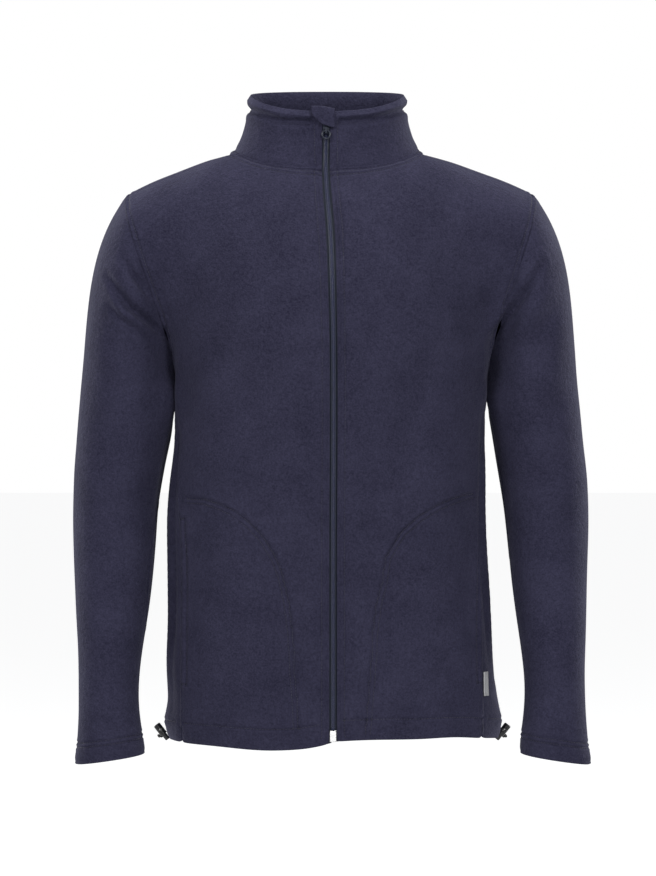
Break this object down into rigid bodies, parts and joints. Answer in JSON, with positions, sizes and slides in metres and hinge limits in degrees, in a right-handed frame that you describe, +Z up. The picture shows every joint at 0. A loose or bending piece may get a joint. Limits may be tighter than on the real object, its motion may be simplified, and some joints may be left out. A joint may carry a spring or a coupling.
{
  "type": "fleece zip jacket",
  "caption": "Long-sleeved fleece jacket with stand collar, full-length front zip, side-seam pockets and corded hem, hollow and filled out as if worn.",
  "frame": {"origin": "middle of the neck at shoulder height, where the wearer's shoulders carry the jacket", "axes": "+Z up along the body, the zip faces -Y, +X to the wearer's left"},
  "size_m": [0.6015, 0.2592, 0.7838],
  "materials": {
    "fleece": "brushed fleece, matte with a soft nap",
    "zip_tape": "woven polyester tape",
    "zip_coil": "semi-matt moulded coil",
    "nickel": "bright nickel",
    "label_weave": "grey woven ribbon",
    "black_plastic": "moulded acetal",
    "elastic_cord": "braided elastic"
  },
  "bodies": {
    "jacket": {"front_left": "fleece", "front_right": "fleece", "back": "fleece", "sleeve_left": "fleece", "sleeve_right": "fleece", "collar": "fleece", "chin_guard": "fleece", "pocket_bag_left": "fleece", "pocket_bag_right": "fleece", "zip_tape_left": "zip_tape", "zip_tape_right": "zip_tape", "zip_chain": "zip_coil", "zip_slider": "zip_coil", "zip_box": "nickel", "side_label": "label_weave", "hem_cord_left": "elastic_cord", "hem_cord_right": "elastic_cord", "cord_knot_left": "elastic_cord", "cord_knot_right": "elastic_cord", "lock_barrel_left": "black_plastic", "lock_barrel_right": "black_plastic"},
    "pull": {"zip_pull": "zip_coil"},
    "plunger_left": {"lock_plunger_left": "black_plastic"},
    "plunger_right": {"lock_plunger_right": "black_plastic"}
  },
  "joints": [
    {"name": "zip_pull_swing", "type": "hinge", "parent": "jacket", "child": "pull", "pos_m": [-0.00508, -0.07885, 0.01078], "axis": [-1, 0, 0], "range_deg": [0, 130]},
    {"name": "lock_press_left", "type": "slide", "parent": "jacket", "child": "plunger_left", "axis": [0.6157, 0, 0.788], "range_m": [0, 0.003], "stiffness_N_per_m": 300, "springref_m": -0.003},
    {"name": "lock_press_right", "type": "slide", "parent": "jacket", "child": "plunger_right", "axis": [-0.6157, 0, 0.788], "range_m": [0, 0.003], "stiffness_N_per_m": 300, "springref_m": -0.003}
  ]
}
